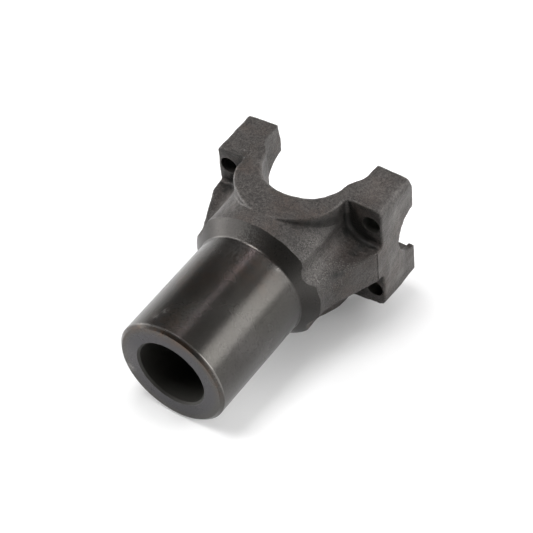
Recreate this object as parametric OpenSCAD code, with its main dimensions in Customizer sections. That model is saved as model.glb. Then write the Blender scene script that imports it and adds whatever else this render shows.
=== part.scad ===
// Forged end yoke of a drive shaft's cross joint, machined in one piece.
// The spin axis lies along Y with the barrel towards -Y, the two ears stand apart along X,
// and the origin is the centre of the joint, where the cross's two axes meet.

/* [Barrel] */
// Distance from the joint's centre to the barrel's mouth
mouth_dist = 117.4; // [112:0.1:125]
// Diameter of the turned barrel, on which an oil seal runs
barrel_d = 50; // [48:0.1:53]
// Chamfer round the outside of the mouth
mouth_chamfer = 1.4; // [0.5:0.1:2.5]
// Distance from the joint's centre to the foot of the turned shoulder
shoulder_dist = 62.4; // [60:0.1:66]
// Distance from the joint's centre to the outer edge of the turned shoulder
hub_dist = 56.5; // [54:0.1:58.5]
// Diameter of the forged hub behind the shoulder
hub_d = 60.8; // [58:0.1:64]

/* [Bore] */
// Diameter of the smooth pilot bore at the mouth
pilot_d = 30.8; // [30:0.1:34]
// Depth of the smooth pilot bore
pilot_depth = 19; // [10:1:28]
// Chamfer at the edge of the pilot bore
pilot_chamfer = 0.5; // [0.2:0.1:1.2]
// Number of internal spline teeth
spline_teeth = 26; // [20:1:34]
// Diameter at the roots of the internal spline
spline_root_d = 30; // [28.5:0.1:30]
// Diameter at the tips of the internal spline
spline_tip_d = 27.6; // [26:0.1:28]
// Diameter of the recess that the shaft's nut sits in
nut_recess_d = 34; // [32:0.5:37]
// Distance from the joint's centre to the face that the nut tightens on
nut_seat_dist = 43; // [40:0.5:46]

/* [Ears] */
// Width over the outer faces of the two ears
ear_span = 80; // [79:0.1:84]
// Width between the machined inner faces of the two ears
gap_w = 48.7; // [46:0.1:50]
// Distance that the machined inner faces reach back from the joint's centre
gap_face_depth = 9; // [7:0.1:12]
// Distance from the joint's centre back to the front faces of the lugs
lug_depth = 24; // [21:0.1:26]
// Distance that the lug ends stop short of the joint's centre, so that the clamps grip
lug_relief = 0.5; // [0.2:0.1:1.5]
// Height of the forging above the spin axis at its crown
crown_h = 30.4; // [29.5:0.05:30.4]
// Radius of the crowned top and bottom faces
crown_r = 310; // [200:10:500]
// Draft of the crowned faces, falling towards the lug ends
crown_draft = 2.2; // [0:0.1:3]
// Rounding of the outer long edges of the lugs
lug_round = 3.2; // [1:0.1:4]
// Rounding of the lugs' end edges
lug_end_round = 1.8; // [1:0.1:2.5]
// Rounding of the lugs' upper and lower front edges
lug_front_round = 1.4; // [0.5:0.1:2]

/* [Cap seats] */
// Diameter of the bearing caps that the half-round seats hold
cap_d = 27; // [25:0.1:28]
// Thickness of the tangs that keep the caps in, at the ears' outer faces
tang_w = 1.7; // [1:0.1:3]
// Height of the tangs above the seats
tang_h = 1.3; // [0.5:0.1:2]

/* [Clamp holes] */
// Diameter of the holes for the two U-bolts
bolt_d = 8.2; // [7:0.1:8.5]
// Distance of the holes' centres from the ears' outer faces
bolt_edge = 5.1; // [5:0.1:6]
// Spacing of the two holes in one ear
bolt_pitch_z = 37.2; // [37:0.1:38]

/* [Web and ribs] */
// Radius of the web's rounded outer wall, which is half its width too
web_r = 23.5; // [22.5:0.1:24]
// Distance from the joint's centre to the centre of the web's outer wall
web_dist = 26.8; // [26:0.1:28]
// Radius of the hollow between the ears
hollow_r = 19.7; // [18.5:0.1:20.5]
// Distance from the joint's centre to the centre of the hollow
hollow_dist = 14.5; // [14:0.1:16]
// Rounding of the hollow's upper and lower rims
hollow_round = 3.7; // [1:0.1:4.5]
// Half thickness of a side rib where it leaves the web
rib_root_half = 8.9; // [8.5:0.1:10]
// Half thickness of a side rib at the ear's outer face
rib_tip_half = 8.1; // [7:0.1:8.4]
// Distance from the joint's centre to where the ribs start to spread
rib_start_dist = 49.2; // [47:0.1:51]
// Distance from the joint's centre to where the ribs reach the ears' outer faces
rib_end_dist = 28.1; // [26:0.1:30]
// Radius of the fillet between the web's wall and a rib
pocket_fillet = 9.2; // [6:0.1:10]

/* [Hidden] */
$fn = 96;

// Margin by which cuts run past the faces that they open
past = 1;
barrel_r = barrel_d / 2;
hub_r = hub_d / 2;
ear_x = ear_span / 2;
// Place of the web's front, where the crowned faces meet the hub
hinge_y = -(web_dist + web_r);
// Distance by which open cuts reach beyond the forging, and a height clear of all of it
clear = 10;
clear_h = crown_h + clear;
// Distance from the joint's centre at which the hollow starts to widen to the machined faces
flare_dist = gap_face_depth + 9.4;
// How far in from the hollow's widest point the widening starts
flare_inset = 0.6;
// Width and length of the small ramp that ends the widening at the machined faces
flare_lip = [1.3, 2.6];
// Distance from the joint's centre to the spline's outer end
spline_start = mouth_dist - pilot_depth;
// Places of a tooth space's four corners, as shares of the spline's pitch
space_corners = [0.18, 0.32, 0.68, 0.82];
// Height of a rib's upper face where its fillet ends
rib_slope = (rib_root_half - rib_tip_half) / (ear_x - web_r);
fillet_end_h = rib_root_half - rib_slope * pocket_fillet;
// Distance from the joint's centre at which a rib's root starts, and how far it is sunk there
rib_root_dist = hub_dist - past;
rib_sink = 1.4;
// Middle of a lug's width, and the slope of the crowned face there
lug_mid_x = (ear_x + gap_w / 2) / 2;
lug_slope = asin(lug_mid_x / crown_r);

// Height of the crowned face above a point of the plan.
function crown_at(x, y) =
    crown_h - crown_r + sqrt(crown_r * crown_r - x * x) - tan(crown_draft) * (y - hinge_y);

// Stands a shape drawn about Z along the spin axis, with its height measured from the joint's
// centre towards the mouth.
module along_spin() rotate([90, 0, 0]) children();

// Repeats a shape on the two ears.
module each_ear() for (side = [0, 1]) mirror([side, 0, 0]) children();

// Repeats a shape above and below the spin axis.
module each_level() for (side = [0, 1]) mirror([0, 0, side]) children();

// Barrel, turned shoulder and hub as one turned blank.
module turned_blank()
    along_spin()
        rotate_extrude()
            polygon([
                [0, web_dist],
                [hub_r, web_dist],
                [hub_r, hub_dist],
                [barrel_r, shoulder_dist],
                [barrel_r, mouth_dist - mouth_chamfer],
                [barrel_r - mouth_chamfer, mouth_dist],
                [0, mouth_dist]
            ]);

// Limit of the forging's top: a crowned face with rounded outer edges, seen along the spin axis.
module crown_section() {
    edge_x = ear_x - lug_round;
    edge_h = crown_h - crown_r + sqrt(crown_r * crown_r - edge_x * edge_x) - lug_round;
    intersection() {
        translate([0, crown_h - crown_r])
            circle(r = crown_r, $fn = 720);
        translate([-edge_x, -clear_h])
            square([2 * edge_x, 2 * clear_h]);
    }
    for (side = [-1, 1])
        translate([side * edge_x, edge_h])
            circle(r = lug_round);
    translate([-ear_x, -clear_h])
        square([2 * ear_x, clear_h + edge_h]);
}

// Everything between the two crowned faces. Each falls by the draft from the hub to the lug ends.
module crown_limit()
    intersection_for (side = [0, 1])
        mirror([0, 0, side])
            translate([0, hinge_y, 0])
                rotate([-crown_draft, 0, 0])
                    along_spin()
                        translate([0, 0, -mouth_dist])
                            linear_extrude(3 * mouth_dist)
                                crown_section();

// Web with its rounded outer wall, seen from above.
module web_plan() {
    translate([0, -web_dist])
        circle(r = web_r);
    translate([-web_r, -web_dist])
        square([2 * web_r, web_dist - lug_relief]);
}

// One ear's lugs seen from above, with the corner at the lug end rounded.
module lug_plan() {
    corner_x = ear_x - lug_end_round;
    corner_y = -lug_relief - lug_end_round;
    translate([0, -lug_depth])
        square([ear_x, lug_depth + corner_y]);
    translate([0, -lug_depth])
        square([corner_x, lug_depth - lug_relief]);
    translate([corner_x, corner_y])
        circle(r = lug_end_round);
}

// One rib seen from above, spreading from the hub out to the ear's outer face.
module rib_plan()
    polygon([
        [0, -rib_root_dist],
        [hub_r - rib_sink, -rib_root_dist],
        [hub_r, -rib_start_dist],
        [ear_x, -rib_end_dist],
        [ear_x, -lug_depth + past],
        [0, -lug_depth + past]
    ]);

// Nut pocket over one rib, seen along the spin axis: a wall, a fillet and the rib's sloping face.
module pocket_section() {
    fillet_x = web_r + pocket_fillet;
    difference() {
        polygon([
            [web_r, fillet_end_h],
            [fillet_x, fillet_end_h],
            [ear_x, rib_tip_half],
            [ear_x + clear, rib_tip_half],
            [ear_x + clear, clear_h],
            [web_r, clear_h]
        ]);
        difference() {
            translate([web_r - past, fillet_end_h - past])
                square(pocket_fillet + past);
            translate([fillet_x, fillet_end_h + pocket_fillet])
                circle(r = pocket_fillet);
        }
    }
}

// The four nut pockets, each open towards the mouth and outwards.
module nut_pockets()
    each_ear() each_level()
        along_spin()
            translate([0, 0, lug_depth])
                linear_extrude(shoulder_dist - lug_depth + past)
                    pocket_section();

// Hollow between the ears: round at its floor, then widening to the machined inner faces.
module hollow_plan() {
    translate([0, -hollow_dist])
        circle(r = hollow_r);
    polygon([
        [-hollow_r + flare_inset, -flare_dist],
        [hollow_r - flare_inset, -flare_dist],
        [gap_w / 2 - flare_lip[0], -gap_face_depth - flare_lip[1]],
        [gap_w / 2, -gap_face_depth],
        [gap_w / 2, past],
        [-gap_w / 2, past],
        [-gap_w / 2, -gap_face_depth],
        [-gap_w / 2 + flare_lip[0], -gap_face_depth - flare_lip[1]]
    ]);
}

// Cuts the corner at the origin to a rounding, along X, where the solid lies at -Y and -Z.
module rounding_bar(r)
    rotate([90, 0, 90])
        linear_extrude(ear_x, center = true)
            difference() {
                translate([-r, -r])
                    square(2 * r);
                translate([-r, -r])
                    circle(r = r);
            }

// Rounded edges where the crowned faces meet the lugs' ends and front faces.
module lug_roundings()
    each_ear() each_level() {
        translate([lug_mid_x, -lug_relief, crown_at(lug_mid_x, -lug_relief)])
            rotate([0, lug_slope, 0])
                rounding_bar(lug_end_round);
        translate([web_r + ear_x / 2, -lug_depth, crown_at(web_r + ear_x / 2, -lug_depth)])
            rotate([0, lug_slope, 0])
                mirror([0, 1, 0])
                    rounding_bar(lug_front_round);
    }

// Rounded rims where the hollow's floor meets the crowned faces.
module hollow_rims()
    each_level()
        translate([0, hinge_y, crown_h])
            rotate([-crown_draft, 0, 0])
                translate([0, -hollow_dist - hinge_y, -hollow_round])
                    rotate_extrude()
                        difference() {
                            translate([hollow_r - past, 0])
                                square([hollow_round + past, 2 * hollow_round]);
                            translate([hollow_r + hollow_round, 0])
                                circle(r = hollow_round);
                        }

// Forging before it is bored and its seats are cut.
module forging()
    difference() {
        union() {
            intersection() {
                union() {
                    turned_blank();
                    linear_extrude(2 * clear_h, center = true)
                        web_plan();
                    each_ear()
                        linear_extrude(2 * clear_h, center = true)
                            lug_plan();
                }
                crown_limit();
            }
            each_ear()
                linear_extrude(2 * (fillet_end_h + pocket_fillet), center = true)
                    rib_plan();
        }
        nut_pockets();
        lug_roundings();
        linear_extrude(2 * clear_h, center = true)
            hollow_plan();
        hollow_rims();
    }

// Outline of the internal spline, tooth by tooth.
module spline_section() {
    pitch = 360 / spline_teeth;
    root_r = spline_root_d / 2;
    tip_r = spline_tip_d / 2;
    polygon([
        for (tooth = [0 : spline_teeth - 1], corner = [0 : 3])
            let (r = corner == 0 || corner == 3 ? tip_r : root_r)
                let (a = pitch * (tooth + space_corners[corner]))
                    [r * cos(a), r * sin(a)]
    ]);
}

// Everything that is bored along the spin axis.
module spin_bore()
    along_spin() {
        translate([0, 0, spline_start])
            cylinder(d = pilot_d, h = pilot_depth + past);
        translate([0, 0, mouth_dist - pilot_chamfer])
            cylinder(d1 = pilot_d, d2 = pilot_d + 4 * pilot_chamfer, h = 2 * pilot_chamfer);
        translate([0, 0, nut_seat_dist - past])
            linear_extrude(spline_start - nut_seat_dist + 2 * past)
                spline_section();
        translate([0, 0, hollow_dist])
            cylinder(d = nut_recess_d, h = nut_seat_dist - hollow_dist);
    }

// Half-round seats for the bearing caps, with the narrower cut between the tangs outside them.
module cap_seats()
    rotate([0, 90, 0]) {
        cylinder(d = cap_d, h = ear_span - 2 * tang_w, center = true);
        cylinder(d = cap_d - 2 * tang_h, h = ear_span + 2 * past, center = true);
    }

// Holes through the lugs for the legs of the U-bolts.
module bolt_holes()
    for (x = [-1, 1], z = [-1, 1])
        translate([x * (ear_x - bolt_edge), past, z * bolt_pitch_z / 2])
            along_spin()
                cylinder(d = bolt_d, h = lug_depth + 2 * past);

// The whole yoke, forged and machined from one piece.
module yoke()
    color("#6b6460")
        difference() {
            forging();
            spin_bore();
            cap_seats();
            bolt_holes();
        }

yoke();
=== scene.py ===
import math

import bpy
import numpy as np
from mathutils import Matrix, Vector


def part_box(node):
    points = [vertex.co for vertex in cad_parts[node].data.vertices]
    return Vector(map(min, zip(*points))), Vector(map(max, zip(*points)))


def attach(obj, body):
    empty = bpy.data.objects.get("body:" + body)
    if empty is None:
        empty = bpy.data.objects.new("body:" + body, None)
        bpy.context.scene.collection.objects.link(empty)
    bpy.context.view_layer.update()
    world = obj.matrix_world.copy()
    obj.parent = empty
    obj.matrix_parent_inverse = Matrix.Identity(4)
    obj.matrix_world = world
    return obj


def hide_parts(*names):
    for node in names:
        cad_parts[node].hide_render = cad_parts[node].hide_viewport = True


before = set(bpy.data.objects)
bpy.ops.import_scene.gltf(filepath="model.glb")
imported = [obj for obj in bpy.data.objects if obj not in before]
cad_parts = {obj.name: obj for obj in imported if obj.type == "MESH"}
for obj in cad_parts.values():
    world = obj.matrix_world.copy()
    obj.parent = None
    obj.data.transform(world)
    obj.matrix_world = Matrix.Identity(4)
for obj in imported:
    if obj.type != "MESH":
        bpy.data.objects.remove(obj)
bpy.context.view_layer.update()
metre = 0.001
yokeLow, yokeHigh = (np.array(corner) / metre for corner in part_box("yoke"))
print("frame loaded, yoke box", yokeLow.round(2), yokeHigh.round(2))

# sizes of the forging and of what is machined into it
yoke = {
    # barrel, cone and hub
    "mouthY": yokeLow[1], "barrelR": 25.0, "mouthChamfer": 1.4, "shoulderY": -62.4, "hubY": -56.5,
    "hubR": yokeHigh[2],
    # bore, spline and the nut's recess; toothFlank is the share of a tooth's pitch where its side rises
    "pilotR": 15.4, "pilotEndY": -98.4, "boreChamfer": 0.9, "teeth": 26, "toothFlank": (0.18, 0.32),
    "splineRootR": 15.0, "splineTipR": 13.8, "splineOver": 0.5, "recessR": 17.0, "nutSeatY": -43.0,
    # outer faces and open ends of the ears, front of the lugs, and where they start inside the web
    "earX": yokeHigh[0], "endY": yokeHigh[1], "lugY": -24.0, "lugFrom": -27.9,
    # crowned top and underside, which sink by the draft, in degrees, towards the ends
    "crownR": 310.0, "crownDraft": 2.2, "crownY": -50.3,
    # web, and the bulge of its left side with the x and y over which it grows
    "webR": 23.5, "webY": -26.8, "leftBulge": 2.3, "bulgeX": (6, 16), "bulgeY": (-47, -30),
    # round hollow and its flare up to the milled gap, which reaches further to the front on the left
    "hollowR": 19.7, "hollowY": -14.5, "flareX": 19.1, "flareY": -18.4, "flareEndY": -11.8,
    "flareLowY": -12.6, "flareZ": (8, 27), "flareShort": 0.1, "flareScale": 0.85,
    "gapX": 24.2, "gapY": -12.1, "gapRightY": -8.9,
    # ribs and nut pockets; the left rib stands out by leftRib
    "ribRoot": 8.9, "ribTip": 8.1, "ribFrom": (30.4, -49.2), "ribTo": (40.0, -28.1), "ribStart": 0.8,
    "ribOver": 1.0, "leftRib": 0.8, "blockZ": 17.66, "pocketR": 9.2,
    # seats, their outer tangs, and the clamp holes
    "seatR": 13.5, "tangW": 2.6, "tangH": 1.9, "holeX": 34.9, "holeZ": 18.6, "holeR": 4.1,
}
# radii of the forged edges and corners, and the pairs between which one passes into another
rounding = {
    # the lugs' upper and lower edges along their sides, at the tip, and on the underside
    "lugSide": 3.2, "lugTip": 2.8, "lugSideLeft": 1.7, "lugTipLeft": 1.5, "lugTipIn": (6, 1),
    "lugSideLow": 1.3, "lugLowRun": 11,
    # the lugs' front edges, and their edges at the open end, where the top ones are rounder
    "lugFront": 0.7, "frontRun": 2.5, "upright": 0.4, "uprightLeft": 1.4, "lugEnd": 1.7,
    "lugEndZ": (22, 27),
    # the web's rim and foot, and the rim of the hollow
    "webRim": 1.1, "webRimLeft": 1.3, "webRimX": (-14, -2), "webFoot": 0.6, "leastFoot": 0.01,
    "footX": (2, 12), "footEndX": (17, 22), "hollowRim": 2.9, "hollowRimY": (-23, -13),
    # the milled gap's broken edges, and what is added at the ends of the ears
    "gapEdge": 0.25, "gapEnd": 0.4, "gapEndLeft": 1.7, "gapEndY": (-6, -2), "gapEndZ": (20, 27),
    # pockets and ribs, the foot of the cone, and the tangs
    "flank": 0.8, "pocketFront": 1.8, "ribEdge": 0.9, "ribSide": 0.6, "ribFoot": 1.2, "shoulder": 0.3,
    "tang": 0.5,
}
# height of the top at the lugs' corners above its even shape, at the front and at the open end, and
# the x, y and z over which it fades in
crooked = {"leftOut": (0.0, 0.8), "leftIn": (-0.6, 0.2), "rightIn": (-0.4, 0.6), "rightOut": (0.9, 1.4)}
crookedFade = {"x": (17, 25), "beforeLug": 8, "z": (0, 12)}
# skin: cell of the grid, its margin round the yoke, in how many parts it is worked out, and how many
# tries find a crossing; pull holds a corner to the middle of its points, inset keeps it off its cell's
# sides, and a corner slides onto the surface if that is nearer than slip
skin = {"cell": 0.76, "margin": 3.0, "parts": 12, "tries": 7, "pull": 0.06, "inset": 0.02, "slip": 0.1}
# low waves that a forging die leaves, each band with its wavelength and height, near the surface alone
dieWaves = {"seed": 7, "waves": 14, "bands": ((9.0, 0.05), (3.6, 0.028)), "spread": (0.75, 1.35),
            "reach": 1.2}


# Radius r on the convex corner of the half spaces a and b: the larger distance, and near the corner the
# distance from the centre of an arc less r.
def roundCut(a, b, r):
    return np.minimum(-r, np.maximum(a, b)) + np.hypot(np.maximum(r + a, 0), np.maximum(r + b, 0))


# Fillet of radius r in the concave corner between the shapes a and b: the smaller distance, and near the
# corner r less the distance from the centre of an arc.
def roundJoin(a, b, r):
    return np.maximum(r, np.minimum(a, b)) - np.hypot(np.maximum(r - a, 0), np.maximum(r - b, 0))


# 0 below low, 1 above high, and a smooth 3t^2 - 2t^3 between
def ramp(v, low, high):
    t = np.clip((v - low) / (high - low), 0, 1)
    return t * t * (3 - 2 * t)


# a where share is 0, b where it is 1, and in a straight line between
def between(a, b, share):
    return a + (b - a) * share


# signed distance from a straight line in a plane, positive on the left of the way from p to q
def beside(u, v, p, q):
    du, dv = q[0] - p[0], q[1] - p[1]
    return ((v - p[1]) * du - (u - p[0]) * dv) / math.hypot(du, dv)


# random directions, wave numbers and phases of the die's waves, one set a band
def makeWaves():
    rng = np.random.default_rng(dieWaves["seed"])
    count, bands = dieWaves["waves"], []
    for length, height in dieWaves["bands"]:
        ways = rng.normal(size=(count, 3))
        ways *= (2 * math.pi / length / np.linalg.norm(ways, axis=1))[:, None]
        ways *= rng.uniform(*dieWaves["spread"], count)[:, None]
        bands.append((ways, rng.uniform(0, 2 * math.pi, count), height * math.sqrt(2 / count)))
    return bands


waves = makeWaves()


# unevenness of the skin: the sum of height * sin(way . point + phase) over all waves
def unevenness(x, y, z):
    total = np.zeros_like(x)
    for ways, phases, height in waves:
        for way, phase in zip(ways, phases):
            total += height * np.sin(way[0] * x + way[1] * y + way[2] * z + phase)
    return total


# The dies met a little askew: how much higher the top is. Heights pass in straight lines from the inner
# to the outer corners of each lug and smoothly from its front to its end, and fade out in front of it.
def lopsided(x, y, z):
    s, fade = yoke, crookedFade
    back = ramp(y, s["lugY"], s["endY"])
    corner = {name: between(front, end, back) for name, (front, end) in crooked.items()}
    out = np.clip((np.abs(x) - s["gapX"]) / (s["earX"] - s["gapX"]), 0, 1)
    left = between(corner["leftIn"], corner["leftOut"], out)
    right = between(corner["rightIn"], corner["rightOut"], out)
    start = ramp(y, s["lugY"] - fade["beforeLug"], s["lugY"])
    return np.where(x < 0, left, right) * (ramp(np.abs(x), *fade["x"]) * ramp(z, *fade["z"]) * start)


# top and underside: the height above a wide cylinder that lies along y and sinks by the draft
def crownField(x, y, z):
    s = yoke
    draft = math.tan(math.radians(s["crownDraft"]))
    height = s["hubR"] - s["crownR"] + np.sqrt(s["crownR"] ** 2 - x * x) - draft * (y - s["crownY"])
    return np.abs(z) - height - lopsided(x, y, z)


# half width of the web behind its half circle, larger where its left side bulges
def webWidth(x, y):
    return yoke["webR"] + yoke["leftBulge"] * ramp(-x, *yoke["bulgeX"]) * ramp(y, *yoke["bulgeY"])


# the web: a wall whose plan is a half circle towards the mouth and straight behind it, under the crown
def webField(x, y, crown):
    s, r = yoke, rounding
    plan = np.hypot(x, np.minimum(y - s["webY"], 0)) - webWidth(x, y)
    rim = between(r["webRim"], r["webRimLeft"], 1 - ramp(x, *r["webRimX"]))
    return roundCut(np.maximum(plan, y - s["endY"]), crown, rim)


# the lugs: all between the ears' outer faces and behind the lugs' start, under the crown
def lugField(x, y, z, crown):
    s, r = yoke, rounding
    side = np.where(x < 0, r["lugSideLeft"], r["lugSide"])
    tip = np.where(x < 0, r["lugTipLeft"], r["lugTip"])
    top = between(side, tip, ramp(y, s["endY"] - r["lugTipIn"][0], s["endY"] - r["lugTipIn"][1]))
    low = between(r["lugSide"], r["lugSideLow"], ramp(y, s["lugY"], s["lugY"] + r["lugLowRun"]))
    return roundCut(np.maximum(np.abs(x) - s["earX"], s["lugFrom"] - y), crown, np.where(z < 0, low, top))


# distance above the ribs' top face, a plane that slopes down from the web to the ear
def ribTopField(x, z):
    s = yoke
    slope = (s["ribRoot"] - s["ribTip"]) / (s["earX"] - s["webR"])
    return (np.abs(z) - s["ribRoot"] + slope * (np.abs(x) - s["webR"])) / math.hypot(1, slope)


# plan of the ribs: inside a straight flank that spreads from the hub, and inside the ear's outer face
def ribSideField(x, y):
    s = yoke
    out = np.abs(x) - np.where(x < 0, s["leftRib"], 0)
    flank = np.maximum(-beside(out, y, s["ribFrom"], s["ribTo"]), s["hubY"] + s["ribStart"] - y)
    flank = roundCut(flank, np.abs(x) - s["earX"], rounding["ribSide"])
    return np.maximum(flank, y - s["lugY"] - s["ribOver"])


# room of a nut pocket: outside the web's wall and above the rib's top, with a large fillet between
# them, and in front of the lug
def pocketField(x, y, ribTop):
    room = roundCut(webWidth(x, y) - np.abs(x), -ribTop, yoke["pocketR"])
    return roundCut(room, y - yoke["lugY"], rounding["pocketFront"])


# room between the ears: a circle, joined to a flare whose half width grows from the circle's to the
# milled gap's, by three parts of a smooth ramp and one of a parabola
def hollowField(x, y, z):
    s = yoke
    circle = np.hypot(x, y - s["hollowY"]) - s["hollowR"]
    end = s["flareEndY"] + np.where(x < 0, 0, s["gapRightY"] - s["gapY"])
    end = between(s["flareLowY"], end, ramp(np.abs(z), *s["flareZ"]))
    t = np.clip((y - s["flareY"]) / (end - s["flareY"]), 0, 1)
    share = 0.75 * t * t * (3 - 2 * t) + 0.25 * t * (2 - t)
    flare = np.abs(x) - s["flareX"] - (s["gapX"] - s["flareShort"] - s["flareX"]) * share
    return np.minimum(circle, np.maximum(s["flareScale"] * flare, s["flareY"] - y))


# The forging before machining. Distances grow outwards, max() keeps what lies in both shapes and min()
# what lies in either: a hub cylinder, blocks for the ribs and lugs, less the nut pockets, then the ribs
# and the web, less the hollow, cut off square at the open ends.
def forgingField(x, y, z):
    s, r = yoke, rounding
    ax, az, rho = np.abs(x), np.abs(z), np.hypot(x, z)
    crown, ribTop, ribSide = crownField(x, y, z), ribTopField(x, z), ribSideField(x, y)
    hub = np.maximum(np.maximum(rho - s["hubR"], crown), y - s["webY"])
    block = np.maximum(ribSide, az - s["blockZ"])
    blank = np.minimum(roundJoin(hub, block, r["ribFoot"]), lugField(x, y, z, crown))
    front = np.where(y > s["lugY"] - r["frontRun"], r["lugFront"], r["flank"])
    body = roundCut(blank, -pocketField(x, y, ribTop), front)
    body = np.minimum(body, roundCut(ribSide, ribTop, r["ribEdge"]))
    foot = r["webFoot"] * ramp(ax, *r["footX"]) * (1 - ramp(ax, *r["footEndX"])) + r["leastFoot"]
    body = roundJoin(body, webField(x, y, crown), foot)
    rim = between(r["gapEdge"], r["hollowRim"], 1 - ramp(y, *r["hollowRimY"]))
    body = roundCut(body, -hollowField(x, y, z), rim)
    upright = np.where(x < 0, r["uprightLeft"], r["upright"])
    return roundCut(body, y - s["endY"], between(upright, r["lugEnd"], ramp(z, *r["lugEndZ"])))


# what turning leaves: a chamfered barrel, joined to a cone that widens to the hub's radius and beyond
def turnedField(x, y, z):
    s = yoke
    rho = np.hypot(x, z)
    rim = (rho - s["barrelR"] + s["mouthY"] + s["mouthChamfer"] - y) / math.sqrt(2)
    barrel = np.maximum(np.maximum(rho - s["barrelR"], rim), s["mouthY"] - y)
    cone = beside(rho, y, (s["hubR"], s["hubY"]), (s["barrelR"], s["shoulderY"]))
    return roundJoin(barrel, cone, rounding["shoulder"])


# what boring leaves: all outside a smooth pilot bore with its chamfer, a spline whose radius goes up and
# down with the angle, and the nut's recess
def boreField(x, y, z):
    s = yoke
    rho = np.hypot(x, z)
    pilot = np.maximum(rho - s["pilotR"], y - s["pilotEndY"])
    lip = (rho - s["pilotR"] - (s["mouthY"] + s["boreChamfer"] - y)) / math.sqrt(2)
    place = np.arctan2(z, x) * s["teeth"] / (2 * math.pi) % 1
    space = 1 - ramp(np.abs(place - 0.5), *s["toothFlank"])
    spline = rho - s["splineTipR"] - (s["splineRootR"] - s["splineTipR"]) * space
    spline = np.maximum(spline, y - s["nutSeatY"] - s["splineOver"])
    recess = np.maximum(rho - s["recessR"], s["nutSeatY"] - y)
    return -np.minimum(np.minimum(pilot, lip), np.minimum(spline, recess))


# what milling and drilling leave of the ears: all outside the seats, which stop at the outer tangs, and
# outside four holes along y
def milledField(x, y, z):
    s = yoke
    ax, across = np.abs(x), np.hypot(y, z)
    seat = -np.maximum(across - s["seatR"], ax - s["earX"] + s["tangW"])
    seat = roundCut(seat, s["seatR"] - s["tangH"] - across, rounding["tang"])
    hole = np.hypot(ax - s["holeX"], np.abs(z) - s["holeZ"]) - s["holeR"]
    return np.maximum(seat, -hole)


# The four solids whose common part is the yoke: forged, turned, bored and milled. The forging has its
# unevenness, and its edges at the milled gap are broken a little, more so at the ends of the ears.
def yokeFields(points):
    s, r = yoke, rounding
    x, y, z = points[:, 0], points[:, 1], points[:, 2]
    forged = forgingField(x, y, z)
    near = np.abs(forged) < dieWaves["reach"]
    forged[near] += unevenness(x[near], y[near], z[near])
    gap = -np.maximum(np.abs(x) - s["gapX"], np.where(x < 0, s["gapY"], s["gapRightY"]) - y)
    more = np.where(x < 0, r["gapEndLeft"] * ramp(np.abs(z), *r["gapEndZ"]), r["gapEnd"])
    forged = roundCut(forged, gap, r["gapEdge"] + more * ramp(y, *r["gapEndY"]))
    forged = roundCut(forged, s["seatR"] - s["tangH"] - np.hypot(y, z), r["tang"])
    return forged, turnedField(x, y, z), boreField(x, y, z), np.maximum(milledField(x, y, z), gap)


# distance from the yoke's surface, negative inside: the largest of the four
def yokeField(points):
    return np.maximum.reduce(yokeFields(points))


# gradient by central differences, scaled to length 1
def directions(points, step=0.02):
    out = np.empty_like(points)
    for axis in range(3):
        shift = np.zeros(3)
        shift[axis] = step
        out[:, axis] = yokeField(points + shift) - yokeField(points - shift)
    return out / np.maximum(np.linalg.norm(out, axis=1), 1e-9)[:, None]


# The grid edges along one axis that the surface crosses: the point and the normal there, the four cells
# round each edge, and whether it starts inside. A straight line through both values and a halving, in
# turn, close in on the point.
def crossings(axis, value, start, cell):
    inside, count = value < 0, value.shape
    first, second = [slice(None)] * 3, [slice(None)] * 3
    first[axis], second[axis] = slice(0, -1), slice(1, None)
    crossed = np.argwhere(inside[tuple(first)] != inside[tuple(second)])
    ahead = crossed.copy()
    ahead[:, axis] += 1
    p0, p1 = start + crossed * cell, start + ahead * cell
    v0, v1 = value[tuple(crossed.T)], value[tuple(ahead.T)]
    t0, t1 = np.zeros(len(v0)), np.ones(len(v0))
    for tried in range(skin["tries"]):
        t = np.clip(t0 + (t1 - t0) * v0 / (v0 - v1), t0, t1) if tried % 2 == 0 else (t0 + t1) / 2
        v = yokeField(p0 + (p1 - p0) * t[:, None])
        same = (v < 0) == (v0 < 0)
        t0, v0 = np.where(same, t, t0), np.where(same, v, v0)
        t1, v1 = np.where(same, t1, t), np.where(same, v1, v)
    t = np.where(np.abs(v0 - v1) > 1e-12, t0 + (t1 - t0) * v0 / (v0 - v1), t0)
    hit = p0 + (p1 - p0) * t[:, None]
    u, w = (axis + 1) % 3, (axis + 2) % 3
    back = np.zeros((4, 3), int)
    back[1, u] = back[2, u] = back[2, w] = back[3, w] = 1
    strides = np.array([count[1] * count[2], count[2], 1])
    cells = ((crossed[:, None, :] - back[None]) * strides).sum(2)
    return hit, directions(hit), cells, inside[tuple(crossed.T)]


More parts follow.
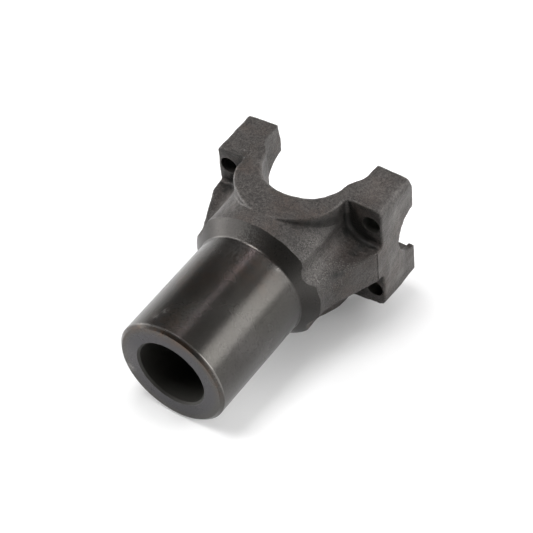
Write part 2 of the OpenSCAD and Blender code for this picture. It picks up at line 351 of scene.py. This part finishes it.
# Surface of field = 0 on a grid of cells. Each cell that the surface enters gets the corner that fits
# the tangent planes of its crossings best in least squares, and each crossed edge gives a four-sided
# face between its four cells. This keeps sharp edges sharp.
def skinOfField(low, high, cell):
    count = np.ceil((high - low + 2 * skin["margin"]) / cell).astype(int) + 1
    start = (low + high) / 2 - (count - 1) * cell / 2
    axes = [start[a] + cell * np.arange(count[a]) for a in range(3)]
    grid = np.stack(np.meshgrid(*axes, indexing="ij"), -1).reshape(-1, 3)
    value = np.concatenate([yokeField(part) for part in np.array_split(grid, skin["parts"])]).reshape(count)
    found = [crossings(axis, value, start, cell) for axis in range(3)]
    hits, normals, cells, startsInside = (np.concatenate(column) for column in zip(*found))
    used, index = np.unique(cells.ravel(), return_inverse=True)
    index = index.reshape(-1)
    owner, size = np.repeat(np.arange(len(hits)), 4), len(used)

    def gather(weights):
        return np.bincount(index, weights=weights, minlength=size)

    tally = np.bincount(index, minlength=size)
    middle = np.stack([gather(hits[owner, a]) for a in range(3)], 1) / tally[:, None]
    plane = ((hits[owner] - middle[index]) * normals[owner]).sum(1)
    target = np.stack([gather(normals[owner, a] * plane) for a in range(3)], 1)
    matrix = np.zeros((size, 3, 3))
    for a in range(3):
        for b in range(3):
            matrix[:, a, b] = gather(normals[owner, a] * normals[owner, b])
    matrix += skin["pull"] * np.eye(3)
    point = middle + np.linalg.solve(matrix, target[..., None])[..., 0]
    cellLow = start + np.stack(np.unravel_index(used, count), 1) * cell
    point = np.clip(point, cellLow + skin["inset"] * cell, cellLow + (1 - skin["inset"]) * cell)
    faces = index.reshape(-1, 4)
    return point, np.where(startsInside[:, None], faces, faces[:, ::-1])


# unit normal of each face corner, read a little way in from the corner so that an edge stays crisp
def cornerNormals(point, faces, inward=0.22):
    centre = point[faces].mean(1)
    spot = point[faces] * (1 - inward) + centre[:, None] * inward
    return directions(spot.reshape(-1, 3))


# Wear and painted shade: how deep under the skin a rim is felt, and the rays and steps that find what is
# covered, which is painted darker.
# Then the ends, amounts and widths of the speckled edges, and the places of the rings at the mouth, two of
# which are painted highlight lines.
markSettings = {
    "rimDepth": 1.1, "rays": 44, "raySteps": (1.5, 4.0, 8.0, 14.0, 22.0), "lift": 0.3, "leastSlope": 0.05,
    "ribEdge": ((30.6, -49.0, 8.8), (40.0, -28.3, 8.0)), "ribScaly": (1.1, 1.8), "ribGrime": (0.45, 0.8),
    "lugEdge": ((25.5, -22.8, 28.6), (37.5, -22.8, 26.4)), "lugScaly": (0.8, 2.0),
    "chamferY": -116.0, "chamferW": 0.5, "lipR": 15.9, "lipW": 0.6, "ringR": (21.3, 23.3),
    "blueR": (20.0, 22.5), "mouthFace": (-117.2, -115.5), "upperZ": (-8, 12), "coneStart": (-0.4, 0.6),
}
# spots of stains, scale, dirt, pale marks, painted shade and painted highlights: x, y, z and radius in
# millimetres, and amount
spots = {
    "brown": [
        (33.5, -31.5, 8.4, 6.5, 0.9), (28.0, -39.0, 9.5, 5.0, 0.35), (39.9, -27.0, 7.2, 3.5, 0.6),
        (30.7, -13.7, 27.6, 5.5, 0.5), (-36.3, -24.3, 9.2, 4.5, 0.9), (-35.0, -34.0, 8.3, 9.0, 0.45),
        (0.2, -117.4, 20.6, 2.0, 0.9), (5.1, -117.4, 21.7, 1.8, 0.9), (9.7, -117.2, 21.8, 2.0, 0.9),
        (-8.0, -85.0, 23.5, 12.0, 0.4), (8.0, -70.0, 23.7, 9.0, 0.5), (37.0, -1.0, -13.0, 5.0, 0.9),
        (-2.0, -112.0, 25.0, 9.0, 0.4),
    ],
    # grime spots are partly dirt and partly painted shade: in the pockets, along the lugs' front edges, on
    # the cone and over the barrel's highlight by the shoulder
    "grimeAndShade": [
        (15.0, -52.0, 26.4, 8.0, 0.5), (20.5, -59.4, 18.7, 6.0, 0.5), (18.3, -67.0, 17.0, 7.0, 0.3),
        (14.0, -46.0, 28.2, 1.8, 0.8), (17.0, -43.0, 27.2, 2.2, 1.0), (20.0, -39.5, 25.5, 2.8, 1.1),
        (22.5, -35.5, 24.0, 3.5, 0.9), (23.8, -31.0, 22.0, 3.8, 0.8), (27.0, -60.0, -2.0, 9.0, 0.75),
        (31.8, -46.2, 7.4, 1.5, 1.2), (33.2, -43.4, 6.6, 1.3, 1.0), (35.4, -38.2, 0.9, 8.0, 0.35),
        (31.0, -49.0, 0.0, 6.0, 0.2), (12.0, -117.4, -19.0, 9.0, 0.3), (33.5, -30.0, 8.4, 6.0, 0.3),
        (-36.0, -24.2, 25.5, 2.4, 0.6), (-32.0, -24.2, 26.6, 2.4, 0.7), (-28.0, -24.2, 27.4, 2.4, 0.7),
        (28.0, -24.2, 27.2, 2.2, 0.6), (32.0, -24.2, 26.6, 2.2, 0.6), (36.0, -24.2, 25.6, 2.2, 0.6),
        (38.5, 0.0, -13.0, 3.5, 0.5), (33.0, -23.0, 18.0, 8.0, 0.45), (33.0, -23.0, -18.0, 8.0, 0.3),
        (24.4, -24.3, 23.4, 2.2, 0.4), (24.1, -24.5, 18.5, 2.6, 0.7), (25.0, -24.9, 13.9, 2.6, 0.7),
        (27.5, -24.7, 10.7, 2.6, 0.7), (30.9, -25.1, 8.9, 2.6, 0.7), (35.0, -25.5, 8.5, 2.4, 0.4),
        (-25.6, -24.5, 28.4, 2.2, 0.4), (-25.8, -28.0, 27.4, 2.4, 0.4),
    ],
    # pale spots are partly pale marks and dust and partly painted highlights: on the barrel by the
    # shoulder, on the cone and at the mouth's left
    "pale": [
        (40.0, -14.0, 8.0, 13.0, 0.5), (40.0, -18.0, -10.0, 12.0, 0.4), (30.0, -13.5, 28.0, 7.0, 0.6),
        (24.8, -52.3, 13.8, 6.0, 0.5), (-20.6, -117.4, -7.8, 1.6, 1.3), (-6.4, -107.6, 24.2, 1.1, 2.0),
        (-8.3, -111.1, 23.6, 1.0, 1.6), (16.2, -63.3, 19.1, 1.0, 0.8), (1.0, -67.0, 25.0, 7.5, 0.55),
        (0.2, -57.9, 29.1, 6.0, 0.14), (-18.6, -25.1, 28.7, 1.4, 0.7), (-21.5, -117.4, 0.0, 8.0, 0.3),
        (34.9, -14.0, 18.6, 6.0, 1.0), (34.9, -14.0, -18.6, 6.0, 1.0),
        (-34.9, -14.0, 18.6, 6.0, 1.0), (-34.9, -14.0, -18.6, 6.0, 1.0),
    ],
    "scaly": [
        (25.0, -51.0, 15.0, 9.0, 1.0), (22.5, -50.5, 20.5, 6.0, 0.8), (29.0, -47.0, 9.0, 8.0, 0.8),
        (31.5, -48.0, 2.0, 7.0, 0.6), (-29.0, -22.5, 27.5, 4.0, 0.8), (-14.0, -40.0, 29.5, 6.0, 0.5),
        (20.0, -36.0, 29.0, 5.0, 0.4),
    ],
}


# Share of the sky over each point that the yoke itself hides, 0 to 1: even directions from a golden
# spiral, each weighted by its cosine with the normal and tried at growing steps.
def coverOf(point, normal):
    k = np.arange(markSettings["rays"]) + 0.5
    height = 1 - 2 * k / markSettings["rays"]
    angle = k * math.pi * (3 - math.sqrt(5))
    wide = np.sqrt(1 - height * height)
    hidden, total = np.zeros(len(point)), np.zeros(len(point))
    for way in np.stack([wide * np.cos(angle), wide * np.sin(angle), height], 1):
        slope = normal @ way
        seen = np.flatnonzero(slope > markSettings["leastSlope"])
        blocked = np.zeros(len(seen), bool)
        for step in markSettings["raySteps"]:
            blocked |= yokeField(point[seen] + normal[seen] * markSettings["lift"] + way * step) < 0
        hidden[seen] += slope[seen] * blocked
        total[seen] += slope[seen]
    return hidden / total


# the sum, at each point, of amount * exp(-(distance / radius)^2) of every spot of one kind
def spotsOf(point, kind):
    total = np.zeros(len(point))
    for x, y, z, radius, amount in spots[kind]:
        away = ((point - np.array([x, y, z])) ** 2).sum(1)
        total += amount * np.exp(-away / radius ** 2)
    return total


# exp(-(distance / radius)^2) from the straight line p to q, and from its mirror images left and below
def nearLine(point, p, q, radius):
    p, way = np.array(p), np.array(q) - np.array(p)
    spot = np.abs(point) * [1, 0, 1] + point * [0, 1, 0]
    share = np.clip((spot - p) @ way / (way @ way), 0, 1)
    return np.exp(-((spot - p - share[:, None] * way) ** 2).sum(1) / radius ** 2)


# Values at each point that the finishes read. edge is 1 on a sharp rim, where the field is still near 0
# a little way under the skin, and cover and the spots are as above. Then come a brown ring on the mouth's
# upper face, painted highlight lines on the top of the chamfer and on the bore's lower lip, and speckled
# lines along the ribs' and the lugs' edges. blue marks the mouth's face, and coarse the cone.
def surfaceValuesOf(point, normal):
    depth = markSettings["rimDepth"]
    values = {
        "edge": 1 - np.clip(-yokeField(point - depth * normal) / depth, 0, 1),
        "cover": coverOf(point, normal),
    }
    for kind in spots:
        values[kind] = spotsOf(point, kind)
    rho, y = np.hypot(point[:, 0], point[:, 2]), point[:, 1]
    upper, face = ramp(point[:, 2], *markSettings["upperZ"]), 1 - ramp(y, *markSettings["mouthFace"])
    values["brown"] += 0.6 * ramp(rho, *markSettings["ringR"]) * face * upper
    # painted highlights: a thin light line on the top of the mouth's chamfer and on the lower lip of the
    # bore, added to edge
    values["edge"] += 0.9 * np.exp(-((y - markSettings["chamferY"]) / markSettings["chamferW"]) ** 2) * upper
    values["edge"] += 0.6 * np.exp(-((rho - markSettings["lipR"]) / markSettings["lipW"]) ** 2) * face * (1 - upper)
    for kind, edge, line in (("scaly", "ribEdge", "ribScaly"), ("grimeAndShade", "ribEdge", "ribGrime"),
                             ("scaly", "lugEdge", "lugScaly")):
        amount, radius = markSettings[line]
        values[kind] += amount * nearLine(point, *markSettings[edge], radius)
    values["blue"] = face * (1 - ramp(rho, *markSettings["blueR"]))
    values["coarse"] = ramp(y - yoke["shoulderY"], *markSettings["coneStart"])
    return values


# A finished object at the origin. Each corner slides along its normal onto the surface, each face takes
# the finish of the largest of the four fields at its centre, in the order of the materials below, and
# each point its values of wear, stains and painted light and shade.
def buildYoke():
    point, faces = skinOfField(yokeLow, yokeHigh, skin["cell"])
    normal, slip = directions(point), yokeField(point)
    point = point - normal * np.where(np.abs(slip) < skin["slip"], slip, 0)[:, None]
    mesh = bpy.data.meshes.new("yokeSkin")
    mesh.from_pydata((point * metre).tolist(), [], faces.tolist())
    finish = np.argmax(np.stack(yokeFields(point[faces].mean(1))), 0)
    mesh.polygons.foreach_set("material_index", finish.astype(np.int32))
    mesh.polygons.foreach_set("use_smooth", np.ones(len(faces), bool))
    for name, value in surfaceValuesOf(point, normal).items():
        mesh.attributes.new(name, "FLOAT", "POINT").data.foreach_set("value", value.astype(np.float32))
    mesh.normals_split_custom_set(cornerNormals(point, faces))
    mesh.update()
    piece = bpy.data.objects.new("yokeForging", mesh)
    bpy.context.scene.collection.objects.link(piece)
    print("skin", len(point), "points", len(faces), "faces")
    return piece, point


# A small helper round the nodes of one material or world, so that what follows reads as a list of steps.
class Steps:
    def __init__(self, owner, coordinates="Object"):
        owner.use_nodes = True
        self.owner = owner
        self.nodes, self.links = owner.node_tree.nodes, owner.node_tree.links
        self.place = self.put("ShaderNodeTexCoord", {}).outputs[coordinates]

    # a new node with its settings and inputs
    def put(self, kind, inputs, **settings):
        node = self.nodes.new(kind)
        for key, value in settings.items():
            setattr(node, key, value)
        for key, value in inputs.items():
            self.plug(value, node.inputs[key])
        return node

    # a socket is linked, and anything else is set as the value
    def plug(self, value, socket):
        if isinstance(value, bpy.types.NodeSocket):
            self.links.new(value, socket)
        else:
            socket.default_value = value

    # noise read at a scale, stretched per axis if asked
    def noise(self, scale, detail=4.0, rough=0.55, stretch=(1, 1, 1), distort=0.0):
        where = self.place
        if stretch != (1, 1, 1):
            where = self.put("ShaderNodeMapping", {"Vector": where, "Scale": stretch}).outputs[0]
        inputs = {"Vector": where, "Scale": scale, "Detail": detail, "Roughness": rough}
        inputs["Distortion"] = distort
        return self.put("ShaderNodeTexNoise", inputs).outputs["Fac"]

    # one of the values that each point of the skin has
    def value(self, name):
        return self.put("ShaderNodeAttribute", {}, attribute_name=name).outputs["Fac"]

    # smooth ramp from low..high to 0..1, or to another pair
    def band(self, value, low, high, to=(0.0, 1.0)):
        inputs = {"Value": value, "From Min": low, "From Max": high, "To Min": to[0], "To Max": to[1]}
        return self.put("ShaderNodeMapRange", inputs, interpolation_type="SMOOTHSTEP").outputs[0]

    # colour a where share is 0 and b where it is 1
    def mix(self, share, a, b):
        return self.put("ShaderNodeMix", {0: share, 6: a, 7: b}, data_type="RGBA").outputs[2]

    def math(self, kind, a, b):
        return self.put("ShaderNodeMath", {0: a, 1: b}, operation=kind).outputs[0]

    # length of the way to a point, in metres
    def distance(self, spot):
        node = self.put("ShaderNodeVectorMath", {0: self.place, 1: spot}, operation="DISTANCE")
        return node.outputs["Value"]

    # 1 for what is seen by the camera, mirrored in metal or seen through glass, and 0 for light
    def seen(self):
        path = self.put("ShaderNodeLightPath", {}).outputs
        mirrored = self.math("MAXIMUM", path["Is Camera Ray"], path["Is Glossy Ray"])
        return self.math("MAXIMUM", mirrored, path["Is Transmission Ray"])

    # normal of a relief, which is distance metres high, laid onto another relief if there is one
    def bump(self, height, distance, strength=1.0, onto=None):
        inputs = {"Height": height, "Distance": distance, "Strength": strength}
        if onto is not None:
            inputs["Normal"] = onto
        return self.put("ShaderNodeBump", inputs).outputs[0]

    # the material, with its shader's inputs filled in
    def finish(self, colour, rough, normal, metallic):
        inputs = {"Base Color": colour, "Roughness": rough, "Normal": normal, "Metallic": metallic}
        for name, value in inputs.items():
            self.plug(value, self.nodes["Principled BSDF"].inputs[name])
        return self.owner


# looks of the four finishes: colours are linear, scales are in waves per metre, and depths in metres
looks = {
    "forged": {
        "dark": (0.028, 0.0246, 0.023, 1), "light": (0.0875, 0.079, 0.0735, 1),
        "rust": (0.075, 0.05, 0.038, 1), "stain": (0.036, 0.0235, 0.0195, 1),
        "grimeAndShade": (0.0068, 0.0066, 0.0054, 1), "pale": (0.18, 0.17, 0.16, 1), "brightTone": (0.17, 0.16, 0.15, 1),
        "metallic": 0.4, "rough": (0.42, 0.62),
        "blotch": 105, "rustPatch": 58, "dent": 252, "grain": 1050, "speckle": 2300,
        "dentDepth": 0.0004, "grainDepth": 0.0003, "speckleDepth": 0.00022,
    },
    "turned": {
        "dark": (0.052, 0.0484, 0.0455, 1), "light": (0.081, 0.0765, 0.0735, 1),
        "rust": (0.085, 0.055, 0.038, 1), "olive": (0.055, 0.0525, 0.0468, 1),
        "blue": (0.053, 0.0505, 0.057, 1), "grimeAndShade": (0.012, 0.011, 0.01, 1), "brightTone": (0.24, 0.23, 0.22, 1),
        "metallic": 0.84, "rough": (0.25, 0.28),
        "blotch": 60, "olivePatch": 34, "rustPatch": 260, "pit": 1500, "lines": 2600,
        "lineDepth": 0.000012, "pitDepth": 0.000035,
    },
    "bored": {
        "dark": (0.018, 0.0172, 0.0145, 1), "light": (0.036, 0.034, 0.029, 1),
        "metallic": 0.3, "rough": (0.5, 0.6), "blotch": 90, "lines": 1500, "lineDepth": 0.00003,
    },
    "milled": {
        "dark": (0.038, 0.036, 0.035, 1), "light": (0.11, 0.105, 0.1045, 1),
        "rust": (0.06, 0.042, 0.032, 1), "grimeAndShade": (0.01, 0.009, 0.008, 1),
        "brightTone": (0.25, 0.24, 0.23, 1), "paleMarks": (0.26, 0.26, 0.215, 1),
        "metallic": 0.7, "rough": (0.36, 0.48), "blotch": 110, "rustPatch": 300, "lines": 1500,
        "lineDepth": 0.00004,
    },
}


# forging scale: blotches and grain in a warm grey, brown here and there, black where the yoke hides
# the light, and rubbed a little brighter on the rims
def forgedFinish():
    look = looks["forged"]
    f = Steps(bpy.data.materials.new("forgedScale"))
    blotch = f.band(f.noise(look["blotch"], 5, 0.6, distort=0.5), 0.3, 0.7)
    grain = f.noise(look["grain"], 3, 0.62)
    speckle = f.noise(look["speckle"], 2, 0.6)
    scaly = f.value("scaly")
    tone = f.math("ADD", f.math("MULTIPLY", blotch, 0.28), f.band(grain, 0.38, 0.62, (0.0, 0.72)))
    colour = f.mix(tone, look["dark"], look["light"])
    brown = f.band(f.noise(look["rustPatch"], 3, 0.55), 0.47, 0.66)
    brown = f.math("MULTIPLY", brown, f.band(grain, 0.3, 0.6))
    colour = f.mix(f.math("MULTIPLY", brown, 0.5), colour, look["rust"])
    stained = f.math("MULTIPLY", f.value("brown"), f.band(blotch, 0.0, 1.0, (0.6, 1.0)))
    colour = f.mix(stained, colour, look["stain"])
    paleMarks = f.math("MULTIPLY", f.value("pale"), f.band(grain, 0.25, 0.7, (0.1, 0.6)))
    colour = f.mix(paleMarks, colour, look["pale"])
    pits = f.math("MULTIPLY", f.band(speckle, 0.54, 0.66), f.band(scaly, 0.0, 1.0, (0.5, 0.9)))
    colour = f.mix(pits, colour, look["grimeAndShade"])
    dots = f.math("MULTIPLY", f.band(speckle, 0.45, 0.33), f.band(scaly, 0.0, 1.0, (0.26, 0.9)))
    colour = f.mix(dots, colour, look["pale"])
    shine = f.math("MULTIPLY", f.band(f.value("edge"), 0.42, 0.85), f.band(speckle, 0.4, 0.6))
    colour = f.mix(f.math("MULTIPLY", shine, 0.3), colour, look["brightTone"])
    # painted shade: darker where the yoke hides the sky from a point, and at the grime spots, which are
    # partly painted shade
    hidden = f.math("ADD", f.value("cover"), f.band(blotch, 0.0, 1.0, (-0.04, 0.04)))
    grimeAndShade = f.math("MULTIPLY", f.value("grimeAndShade"), 0.8)
    shadeAndDirt = f.math("MAXIMUM", f.band(hidden, 0.16, 0.43, (0.0, 0.92)), grimeAndShade)
    colour = f.mix(shadeAndDirt, colour, look["grimeAndShade"])
    rough = f.band(f.math("ADD", f.math("MULTIPLY", blotch, -0.4), grain), 0.0, 0.7, look["rough"])
    speckled = f.math("MULTIPLY", speckle, f.band(scaly, 0.0, 1.0, (0.5, 1.0)))
    normal = f.bump(f.noise(look["dent"], 4, 0.6), look["dentDepth"], 0.6)
    normal = f.bump(grain, look["grainDepth"], 0.8, normal)
    normal = f.bump(speckled, look["speckleDepth"], 0.8, normal)
    return f.finish(colour, rough, normal, look["metallic"])


# lathe-turned steel: fine rings round the spin axis, olive, blue and brown stains, pits, and the
# coarser cut of the cone, with painted highlights from the pale spots and the mouth's edge lines, and
# painted shade from the grime spots
def turnedFinish():
    look = looks["turned"]
    f = Steps(bpy.data.materials.new("turnedSteel"))
    rings = f.noise(look["lines"], 2, 0.5, (0.012, 1, 0.012))
    stain = f.band(f.noise(look["blotch"], 3, 0.5), 0.3, 0.72)
    pits = f.noise(look["pit"], 2, 0.6)
    tone = f.math("ADD", f.math("MULTIPLY", stain, 0.6), f.math("MULTIPLY", rings, 0.4))
    colour = f.mix(tone, look["dark"], look["light"])
    olive = f.band(f.noise(look["olivePatch"], 3, 0.6), 0.42, 0.62, (0.0, 0.6))
    colour = f.mix(olive, colour, look["olive"])
    colour = f.mix(f.math("MULTIPLY", f.value("blue"), 0.8), colour, look["blue"])
    colour = f.mix(f.math("MULTIPLY", f.value("coarse"), 0.3), colour, look["grimeAndShade"])
    patchy = f.math("MULTIPLY", f.value("brown"), f.band(f.noise(look["rustPatch"], 4, 0.65), 0.35, 0.62))
    colour = f.mix(patchy, colour, look["rust"])
    colour = f.mix(f.math("MULTIPLY", f.band(pits, 0.57, 0.68), 0.6), colour, look["grimeAndShade"])
    colour = f.mix(f.math("MULTIPLY", f.band(pits, 0.38, 0.3), 0.12), colour, look["brightTone"])
    # pale spots: pale marks, and painted highlights on the barrel by the shoulder, on the cone and at the
    # mouth's left
    colour = f.mix(f.math("MULTIPLY", f.value("pale"), f.band(pits, 0.4, 0.6)), colour, look["brightTone"])
    # grime spots: dirt, and painted shade that dims the barrel's highlight by the shoulder and darkens the
    # cone's right side
    colour = f.mix(f.math("MULTIPLY", f.value("grimeAndShade"), 0.7), colour, look["grimeAndShade"])
    # edge: rubbed rims, and the painted highlight lines at the mouth
    colour = f.mix(f.band(f.value("edge"), 0.4, 0.8, (0.0, 0.5)), colour, look["brightTone"])
    coarse = f.math("MULTIPLY", f.value("coarse"), 0.12)
    rough = f.math("ADD", f.band(stain, 0.0, 1.0, look["rough"]), coarse)
    normal = f.bump(rings, look["lineDepth"], 0.6)
    normal = f.bump(pits, look["pitDepth"], 0.6, normal)
    return f.finish(colour, rough, normal, look["metallic"])


# inside of the bore: dark oiled steel with dim rings
def boredFinish():
    look = looks["bored"]
    f = Steps(bpy.data.materials.new("boredSteel"))
    rings = f.noise(look["lines"], 2, 0.5, (0.05, 1, 0.05))
    stain = f.noise(look["blotch"], 4, 0.6)
    colour = f.mix(f.math("MULTIPLY", f.math("ADD", stain, rings), 0.5), look["dark"], look["light"])
    rough = f.band(stain, 0.3, 0.7, look["rough"])
    return f.finish(colour, rough, f.bump(rings, look["lineDepth"], 0.5), look["metallic"])


# milled seats and faces: fine strokes up and down the ears, with a dull stain over them, dust in the
# clamp holes, and painted shade where the yoke hides the sky and at the grime spots
def milledFinish():
    look = looks["milled"]
    f = Steps(bpy.data.materials.new("milledSteel"))
    strokes = f.noise(look["lines"], 3, 0.6, (1, 1, 0.05))
    stain = f.band(f.noise(look["blotch"], 4, 0.6), 0.3, 0.72)
    tone = f.math("ADD", f.math("MULTIPLY", stain, 0.5), f.math("MULTIPLY", strokes, 0.5))
    colour = f.mix(tone, look["dark"], look["light"])
    rust = f.math("MULTIPLY", f.band(f.noise(look["rustPatch"], 3, 0.6), 0.58, 0.7), 0.35)
    colour = f.mix(f.math("MAXIMUM", rust, f.value("brown")), colour, look["rust"])
    colour = f.mix(f.value("pale"), colour, look["paleMarks"])
    colour = f.mix(f.band(f.value("edge"), 0.4, 0.8, (0.0, 0.4)), colour, look["brightTone"])
    # painted shade: darker where the yoke hides the sky, and at the grime spots
    grimeAndShade = f.math("MULTIPLY", f.value("grimeAndShade"), 0.7)
    shadeAndDirt = f.math("MAXIMUM", f.band(f.value("cover"), 0.3, 0.8, (0.0, 0.3)), grimeAndShade)
    colour = f.mix(shadeAndDirt, colour, look["grimeAndShade"])
    rough = f.band(stain, 0.0, 1.0, look["rough"])
    return f.finish(colour, rough, f.bump(strokes, look["lineDepth"], 0.6), look["metallic"])


piece, skinPoint = buildYoke()
for material in (forgedFinish(), turnedFinish(), boredFinish(), milledFinish()):
    piece.data.materials.append(material)
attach(piece, "root")
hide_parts("yoke")
print("yoke dressed")

# Studio: the yoke lies on its barrel's rim and its hub, so the floor tilts a little in its frame. The
# floor's glow grows with the distance from the yoke, and is less round the right lug's foot, which paints a
# darker shadow there: each has two distances in metres and the glow at them. ceiling is the strength of the
# room's light, and horizon the heights between which the white that is seen passes into it.
stage = {
    "lean": (0.029, 0.0904), "floorSize": 14.0, "floorColour": 0.8, "floorRough": 0.9,
    "glow": (0.4, 1.6, (0.24, 1.0)), "shadow": (0.03, -0.045, -0.03),
    "shadowGlow": (0.015, 0.06, (0.35, 1.0)), "ceiling": 0.06, "horizon": (0.1, 0.3),
}
up = Vector((*stage["lean"], 1)).normalized()
floorTurn = up.to_track_quat("Z", "Y").to_matrix()
floorDrop = float((skinPoint @ np.array(up)).min()) * metre


# Pale matt floor. Its white glow shows only where the floor is seen or mirrored. It is clear from below,
# so that the underside of the yoke can be looked at.
def floorFinish():
    f = Steps(bpy.data.materials.new("paleFloor"))
    shader = f.nodes["Principled BSDF"]
    shader.inputs["Base Color"].default_value = (stage["floorColour"],) * 3 + (1,)
    shader.inputs["Roughness"].default_value = stage["floorRough"]
    shader.inputs["Specular IOR Level"].default_value = 0.0
    shader.inputs["Emission Color"].default_value = (1, 1, 1, 1)
    far = f.band(f.distance((0, 0, 0)), *stage["glow"])
    # painted shadow: the glow is dimmed near the right lug's foot, so the floor there is darker than its
    # light makes it
    glow = f.math("MULTIPLY", far, f.band(f.distance(stage["shadow"]), *stage["shadowGlow"]))
    f.plug(f.math("MULTIPLY", f.seen(), glow), shader.inputs["Emission Strength"])
    below = f.put("ShaderNodeNewGeometry", {}).outputs["Backfacing"]
    clear = f.put("ShaderNodeBsdfTransparent", {}).outputs[0]
    both = f.put("ShaderNodeMixShader", {0: below, 1: shader.outputs[0], 2: clear}).outputs[0]
    f.plug(both, f.nodes["Material Output"].inputs["Surface"])
    return f.owner


# a square sheet under the yoke: its four corners are half the floor's size along two directions
def buildFloor():
    half = stage["floorSize"] / 2
    sideU, sideV = np.array(floorTurn @ Vector((1, 0, 0))), np.array(floorTurn @ Vector((0, 1, 0)))
    u, v = np.array([-1, 1, 1, -1]) * half, np.array([-1, -1, 1, 1]) * half
    corners = u[:, None] * sideU + v[:, None] * sideV + np.array(up) * floorDrop
    mesh = bpy.data.meshes.new("floor")
    mesh.from_pydata(corners.tolist(), [], [(0, 1, 2, 3)])
    mesh.materials.append(floorFinish())
    floor = bpy.data.objects.new("floor", mesh)
    bpy.context.scene.collection.objects.link(floor)


# World: a dim room. What is seen of it is white up to a little above the horizon and dim overhead.
def buildWorld():
    w = Steps(bpy.data.worlds.new("studio"), "Generated")
    bpy.context.scene.world = w.owner
    height = w.put("ShaderNodeSeparateXYZ", {0: w.place}).outputs["Z"]
    level = w.band(height, *stage["horizon"], (1.0, stage["ceiling"]))
    back = w.nodes["Background"]
    back.inputs["Color"].default_value = (1, 1, 1, 1)
    w.plug(w.band(w.seen(), 0.0, 1.0, (stage["ceiling"], level)), back.inputs["Strength"])


buildFloor()
buildWorld()
print("floor laid")

# Lamps: where each stands from the yoke (right, back, up), its size in metres, and its power in watts.
# Each is white and stands at the same distance, unless it says otherwise.
lampAim = Vector((0, -0.06, 0))
plainLamp = {"away": 1.25, "tint": (1, 1, 1)}
lamps = {
    "rightSoftbox": {"way": (0.69, 0.64, 0.385), "size": (1.3, 0.66), "power": 12.2},
    "rightFill": {"way": (1.0, 0.05, 0.45), "size": (0.8, 0.8), "power": 3.5},
    "leftSoftbox": {"way": (-0.974, -0.085, 0.208), "size": (1.0, 0.5), "power": 10.1},
    "leftHighSoftbox": {"way": (-0.73, -0.295, 0.616), "size": (0.75, 0.55), "power": 5.8},
    "backSoftbox": {"way": (0.2, 0.74, 0.64), "size": (0.6, 0.4), "power": 2.3},
    "topSoftbox": {"way": (-0.18, -0.02, 1.0), "size": (0.8, 0.5), "power": 10.0},
    "backStrip": {"way": (-0.085, 0.54, 0.84), "size": (0.05, 0.35), "power": 0.36, "away": 1.3,
                  "tint": (1, 0.86, 0.96)},
}
for name, ownSettings in lamps.items():
    lamp = {**plainLamp, **ownSettings}
    light = bpy.data.lights.new(name, "AREA")
    light.shape = "RECTANGLE"
    light.size, light.size_y = lamp["size"]
    light.energy = lamp["power"]
    light.color = lamp["tint"]
    holder = bpy.data.objects.new(name, light)
    bpy.context.scene.collection.objects.link(holder)
    way = Vector(lamp["way"]).normalized()
    holder.location = lampAim + way * lamp["away"]
    holder.rotation_mode = "QUATERNION"
    holder.rotation_quaternion = way.to_track_quat("Z", "Y")
print("studio lit")

# camera: worked out from the circles and corners of the real one; angles are in degrees
view = {"target": (0.00234, -0.05309, 0.00374), "distance": 0.83549, "azimuth": 38.70, "elevation": 46.47,
        "roll": -6.27, "lens": 138.72, "sensor": 36.0}
azimuth, elevation = math.radians(view["azimuth"]), math.radians(view["elevation"])
level = math.cos(elevation)
outward = Vector((math.sin(azimuth) * level, -math.cos(azimuth) * level, math.sin(elevation)))
camera = bpy.data.objects.new("camera", bpy.data.cameras.new("camera"))
bpy.context.scene.collection.objects.link(camera)
camera.data.sensor_width = view["sensor"]
camera.data.lens = view["lens"]
camera.data.clip_start, camera.data.clip_end = 0.01, 100
roll = Matrix.Rotation(math.radians(view["roll"]), 3, "Z")
cameraTurn = outward.to_track_quat("Z", "Y").to_matrix() @ roll
cameraPlace = Vector(view["target"]) + outward * view["distance"]
camera.matrix_world = Matrix.Translation(cameraPlace) @ cameraTurn.to_4x4()
bpy.context.scene.camera = camera
bpy.context.scene.view_settings.view_transform = "Standard"
print("camera set")
